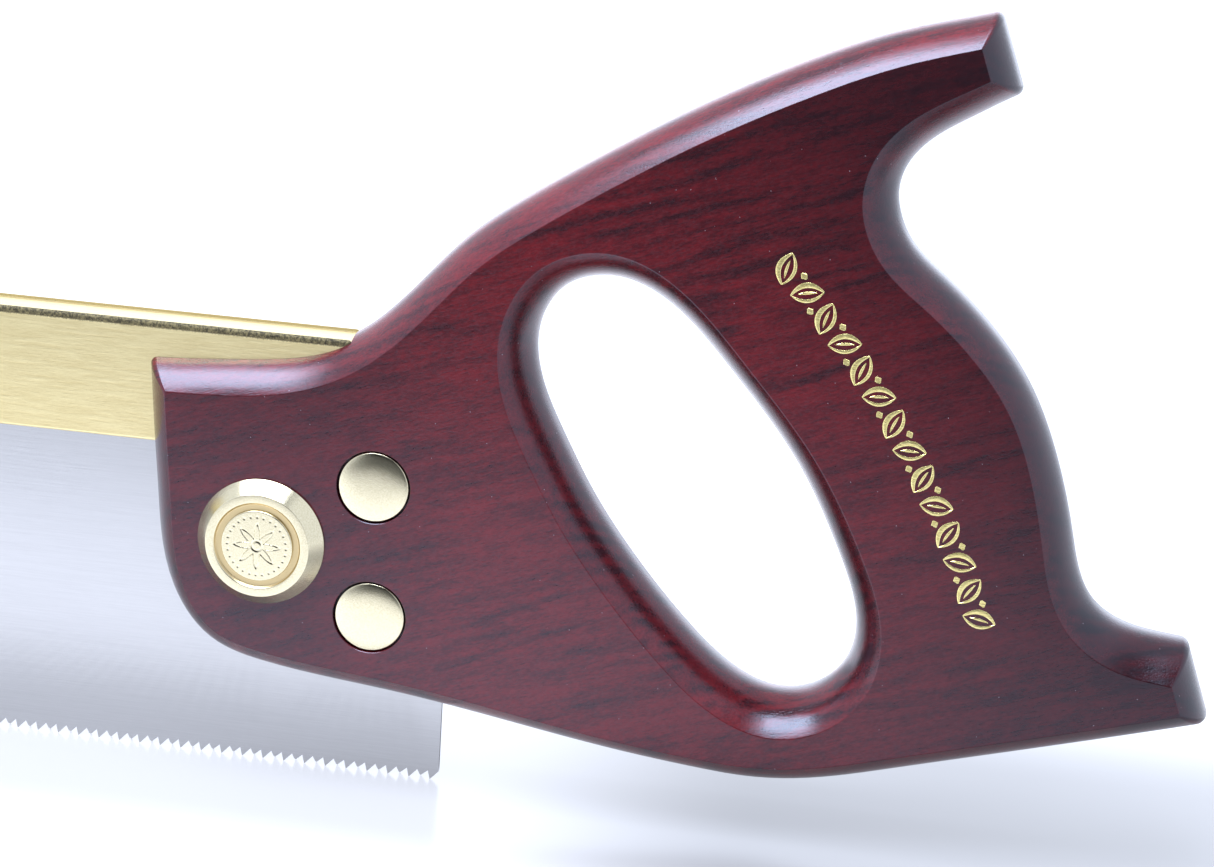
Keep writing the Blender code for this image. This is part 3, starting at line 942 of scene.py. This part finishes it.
def back_material():
    """Yellow brass, brushed along its length. Its -Y corner carries a painted dark reflection, and the inside
    of its +Y lip painted shade.
    """
    s = Surface("back_brass")
    where = s.millimetres()
    brushed = s.noise(s.scaled(where, (0.16, 2.2, 2.2)), 1.0, 5.0, 0.6)
    fine = s.noise(s.scaled(where, (1.0, 8.0, 8.0)), 1.0, 4.0, 0.6)
    tone = s.math("MULTIPLY_ADD", brushed, 0.6, s.math("MULTIPLY", fine, 0.4))
    colour = s.mix(s.step(tone, 0.30, 0.70), (0.76, 0.63, 0.325, 1), (0.89, 0.77, 0.43, 1))
    bristle = s.noise(s.scaled(where, (3.0, 2.2, 2.2)), 1.0, 4.0, 0.7)
    wobble = s.math("MULTIPLY_ADD", bristle, 0.7, -0.35)
    deep = s.dot(where, ALONG_Y)
    height = s.dot(where, ALONG_Z)
    half = BACK_WIDTH / 2
    # Painted reflection: a bristly dark band along the top of the -Y corner, standing in for the dim room it
    # reflects
    fold = BACK_TOP - BACK_REFLECTION_BAND
    low = s.step(s.math("ADD", height, wobble), fold - 0.35, fold - 0.05)
    painted_reflection_and_shade = s.step(s.math("ADD", deep, wobble), 1.0 - half, 0.6 - half, 0.0, 1.0)
    painted_reflection_and_shade = s.math("MULTIPLY", low, painted_reflection_and_shade)
    dark = s.mix(s.step(bristle, 0.35, 0.68), (0.020, 0.016, 0.006, 1), (0.200, 0.165, 0.075, 1))
    colour = s.mix(painted_reflection_and_shade, colour, dark)
    # Painted shade on the inside face of the +Y lip, in the hollow top
    lip = half - BACK_LIP
    shaded = s.step(deep, lip - 0.30, lip - 0.20)
    shaded = s.math("MULTIPLY", shaded, s.step(deep, lip + 0.05, lip + 0.15, 1.0, 0.0))
    shaded = s.math("MULTIPLY", shaded, s.step(height, BACK_TOP - 1.0, BACK_TOP - 0.8))
    colour = s.mix(shaded, colour, (0.26, 0.20, 0.075, 1))
    # Both painted marks are made rougher and barely metallic
    painted_reflection_and_shade = s.math("MAXIMUM", painted_reflection_and_shade, shaded)
    rough = s.math("MULTIPLY_ADD", painted_reflection_and_shade, 0.40, 0.40)
    metallic = s.math("MULTIPLY_ADD", painted_reflection_and_shade, -0.9, 1.0)
    s.set(Base_Color=colour, Metallic=metallic, Roughness=rough, Anisotropic=0.4)
    relief = s.math("MULTIPLY_ADD", brushed, 0.6, s.math("MULTIPLY", fine, 0.4))
    s.set(Normal=s.bump(relief, 0.00004))
    return s.material


def nut_material():
    """Pale polished brass, slightly grainy, with painted shade in the medallion's groove."""
    s = Surface("nut_brass")
    where = s.millimetres()
    dust = s.noise(where, 4.0, 4.0, 0.7)
    colour = s.mix(s.step(dust, 0.35, 0.65), (0.69, 0.62, 0.42, 1), (0.77, 0.705, 0.50, 1))
    x, z = NUT_PLACES["medallion"]
    axis = (x + HEEL_X, 0.0, z)
    sideways = s.add("ShaderNodeVectorMath", {0: where, 1: axis}, operation="SUBTRACT")
    away = s.measure("LENGTH", s.scaled(sideways, (1.0, 0.0, 1.0)))
    outer, inner = MEDALLION_GROOVE
    # Painted shade: the medallion's groove is coloured a darker tan and made rougher
    groove = s.step(away, inner - 0.15, inner + 0.1)
    groove = s.math("MULTIPLY", groove, s.step(away, outer - 0.25, outer + 0.1, 1.0, 0.0))
    proud = s.step(s.dot(where, ALONG_Y), -THICKNESS / 2 - 0.4, -THICKNESS / 2 + 0.5, 1.0, 0.0)
    colour = s.mix(s.math("MULTIPLY", groove, proud), colour, (0.60, 0.47, 0.25, 1))
    s.set(Base_Color=colour, Metallic=1.0, Roughness=s.math("MULTIPLY_ADD", groove, 0.20, 0.14))
    s.set(Normal=s.bump(s.noise(where, 7.0, 3.0, 0.6), 0.00001))
    return s.material


def foil_material():
    """Stamped gold foil that follows the wood's fine grain."""
    s = Surface("gold_foil")
    where = s.millimetres()
    grain = s.noise(s.scaled(where, (1.2, 4.0, 4.0)), 1.0, 4.0, 0.6)
    colour = s.mix(s.step(grain, 0.35, 0.65), (0.80, 0.66, 0.25, 1), (1.0, 0.87, 0.38, 1))
    s.set(Base_Color=colour, Metallic=0.8, Roughness=0.24)
    s.set(Normal=s.bump(grain, 0.00005))
    return s.material


def steel_material():
    """Cool satin steel, brushed along the plate, with dark sheared ends."""
    s = Surface("plate_steel")
    where = s.millimetres()
    brushed = s.noise(s.scaled(where, (0.05, 3.0, 4.0)), 1.0, 6.0, 0.7)
    fine = s.noise(s.scaled(where, (0.3, 8.0, 12.0)), 1.0, 4.0, 0.6)
    tone = s.math("MULTIPLY_ADD", brushed, 0.6, s.math("MULTIPLY", fine, 0.4))
    colour = s.mix(s.step(tone, 0.3, 0.7), (0.505, 0.505, 0.515, 1), (0.56, 0.56, 0.57, 1))
    end = s.math("ABSOLUTE", s.dot(s.normal(), ALONG_X))
    above = s.step(s.dot(where, ALONG_Z), 1.5, 2.5)
    colour = s.mix(s.math("MULTIPLY", above, s.step(end, 0.75, 0.90)), colour, (0.045, 0.045, 0.055, 1))
    s.set(Base_Color=colour, Metallic=1.0, Roughness=0.30, Anisotropic=0.4)
    s.set(Normal=s.bump(tone, 0.00002))
    return s.material


def floor_material():
    """Pale and slightly glossy, with painted light: it glows, more in front of the blade, towards the left
    and behind the saw, and its colour is paler in front of the blade and darker under and behind the saw. Far
    away it fades out into the bright room.
    """
    s = Surface("pale_floor")
    where = s.add("ShaderNodeTexCoord", out="Object")
    depth = s.dot(where, ALONG_Y)
    aside = s.dot(where, ALONG_X)
    # Painted light and shade: paler in front of the blade, darker under and behind the saw
    colour = s.mix(s.step(depth, -0.05, -0.02), (0.28, 0.28, 0.28, 1), (0.13, 0.13, 0.13, 1))
    s.set(Base_Color=colour, Roughness=0.20, Specular_IOR_Level=0.5)
    # Painted light: the floor glows, brighter in front of the blade, behind the saw and towards the left
    glow = s.math("ADD", s.step(depth, -0.05, -0.02, 0.75, 0.30), s.step(depth, 0.03, 0.10, 0.0, FLOOR_GLOW))
    glow = s.math("ADD", glow, s.step(aside, 0.066, 0.12, 0.45, 0.0))
    s.set(Emission_Color=FLOOR_COLOUR, Emission_Strength=glow)
    away = s.measure("LENGTH", s.scaled(where, (0.6, 1.0, 1.0)))
    s.set(Alpha=s.step(away, FLOOR_FADE[0], FLOOR_FADE[1], 1.0, 0.0))
    return s.material


# ---------------------------------------------------------------- stage, light and camera


def make_floor():
    half = FLOOR_HALF
    mesh = bpy.data.meshes.new("floor")
    corners = [(-half, -half, 0), (half, -half, 0), (half, half, 0), (-half, half, 0)]
    mesh.from_pydata(corners, [], [(0, 1, 2, 3)])
    mesh.materials.append(floor_material())
    floor = bpy.data.objects.new("floor", mesh)
    bpy.context.scene.collection.objects.link(floor)


def make_light(name, height, size, radiance):
    """A rectangular soft light that faces straight down. radiance is how bright its surface looks."""
    data = bpy.data.lights.new(name, "AREA")
    data.shape = "RECTANGLE"
    data.size, data.size_y = size
    data.energy = radiance * math.pi * size[0] * size[1]
    data.color = LIGHT_COLOUR
    light = bpy.data.objects.new(name, data)
    light.location = (LIGHT_X, LIGHT_Y, height)
    light.visible_camera = False
    bpy.context.scene.collection.objects.link(light)


def make_world():
    """A white room: bright behind the saw, with a dim patch in front under the overhead light."""
    world = bpy.data.worlds.new("room")
    bpy.context.scene.world = world
    world.use_nodes = True
    nodes, links = world.node_tree.nodes, world.node_tree.links
    where = nodes.new("ShaderNodeTexCoord")
    parts = nodes.new("ShaderNodeSeparateXYZ")
    links.new(where.outputs["Generated"], parts.inputs[0])

    def ranged(socket, low, high, bottom=0.0, top=1.0):
        node = nodes.new("ShaderNodeMapRange")
        node.interpolation_type = "SMOOTHSTEP"
        for key, value in (("From Min", low), ("From Max", high), ("To Min", bottom), ("To Max", top)):
            node.inputs[key].default_value = value
        links.new(socket, node.inputs["Value"])
        return node.outputs[0]

    def combined(operation, *values):
        node = nodes.new("ShaderNodeMath")
        node.operation = operation
        for socket, value in zip(node.inputs, values):
            if isinstance(value, float):
                socket.default_value = value
            else:
                links.new(value, socket)
        return node.outputs[0]

    height = parts.outputs["Z"]
    behind = ranged(height, -0.08, 0.0, BACK_FLOOR_GLOW, BACK_WALL_GLOW)
    behind = combined("SUBTRACT", behind, ranged(height, 0.25, 0.65, 0.0, BACK_WALL_GLOW - CEILING_GLOW))
    ahead = combined("SUBTRACT", FRONT_GLOW, ranged(height, 0.0, 0.12, 0.0, FRONT_GLOW - DIM_GLOW))
    aside = ranged(combined("ABSOLUTE", parts.outputs["X"]), 0.25, 0.65)
    turned_back = ranged(parts.outputs["Y"], -0.30, 0.30)
    room = combined("MULTIPLY_ADD", turned_back, combined("SUBTRACT", behind, ahead), ahead)
    room = combined("MULTIPLY_ADD", aside, combined("SUBTRACT", SIDE_GLOW, room), room)
    seen = nodes.new("ShaderNodeLightPath").outputs["Is Camera Ray"]
    glow = combined("MAXIMUM", room, combined("MULTIPLY", seen, BACKDROP_GLOW))
    background = nodes["Background"]
    background.inputs["Color"].default_value = ROOM_COLOUR
    links.new(glow, background.inputs["Strength"])


def make_camera():
    azimuth = math.radians(CAMERA_AZIMUTH)
    elevation = math.radians(CAMERA_ELEVATION)
    roll = math.radians(CAMERA_ROLL)
    flat = math.cos(elevation)
    back = Vector((math.sin(azimuth) * flat, -math.cos(azimuth) * flat, math.sin(elevation)))
    level = Vector((math.cos(azimuth), math.sin(azimuth), 0.0))
    rise = level.cross(-back)
    right = level * math.cos(roll) + rise * math.sin(roll)
    up = -level * math.sin(roll) + rise * math.cos(roll)
    target = Vector(float(v) for v in heel_to_frame(*CAMERA_TARGET))
    place = target + back * CAMERA_DISTANCE * MM
    data = bpy.data.cameras.new("camera")
    data.lens = CAMERA_LENS
    data.sensor_width = 36.0
    data.clip_start = 0.01
    camera = bpy.data.objects.new("camera", data)
    camera.matrix_world = Matrix((right, up, back)).transposed().to_4x4()
    camera.location = place
    bpy.context.scene.collection.objects.link(camera)
    bpy.context.scene.camera = camera


def main():
    make_camera()
    make_world()
    make_floor()
    make_light("overhead", WIDE_LIGHT_HEIGHT, WIDE_LIGHT_SIZE, WIDE_LIGHT_RADIANCE)
    make_light("overhead_middle", MIDDLE_LIGHT_HEIGHT, MIDDLE_LIGHT_SIZE, MIDDLE_LIGHT_RADIANCE)
    bpy.context.scene.view_settings.view_transform = "Standard"
    wood = wood_material()
    brass = nut_material()
    make_handle(wood)
    make_plate(steel_material())
    make_back(back_material())
    make_medallion(brass)
    make_nut("upper", brass)
    make_nut("lower", brass)
    for name in NUT_PLACES:
        make_screw(name, brass)
    make_trim(foil_material())


main()
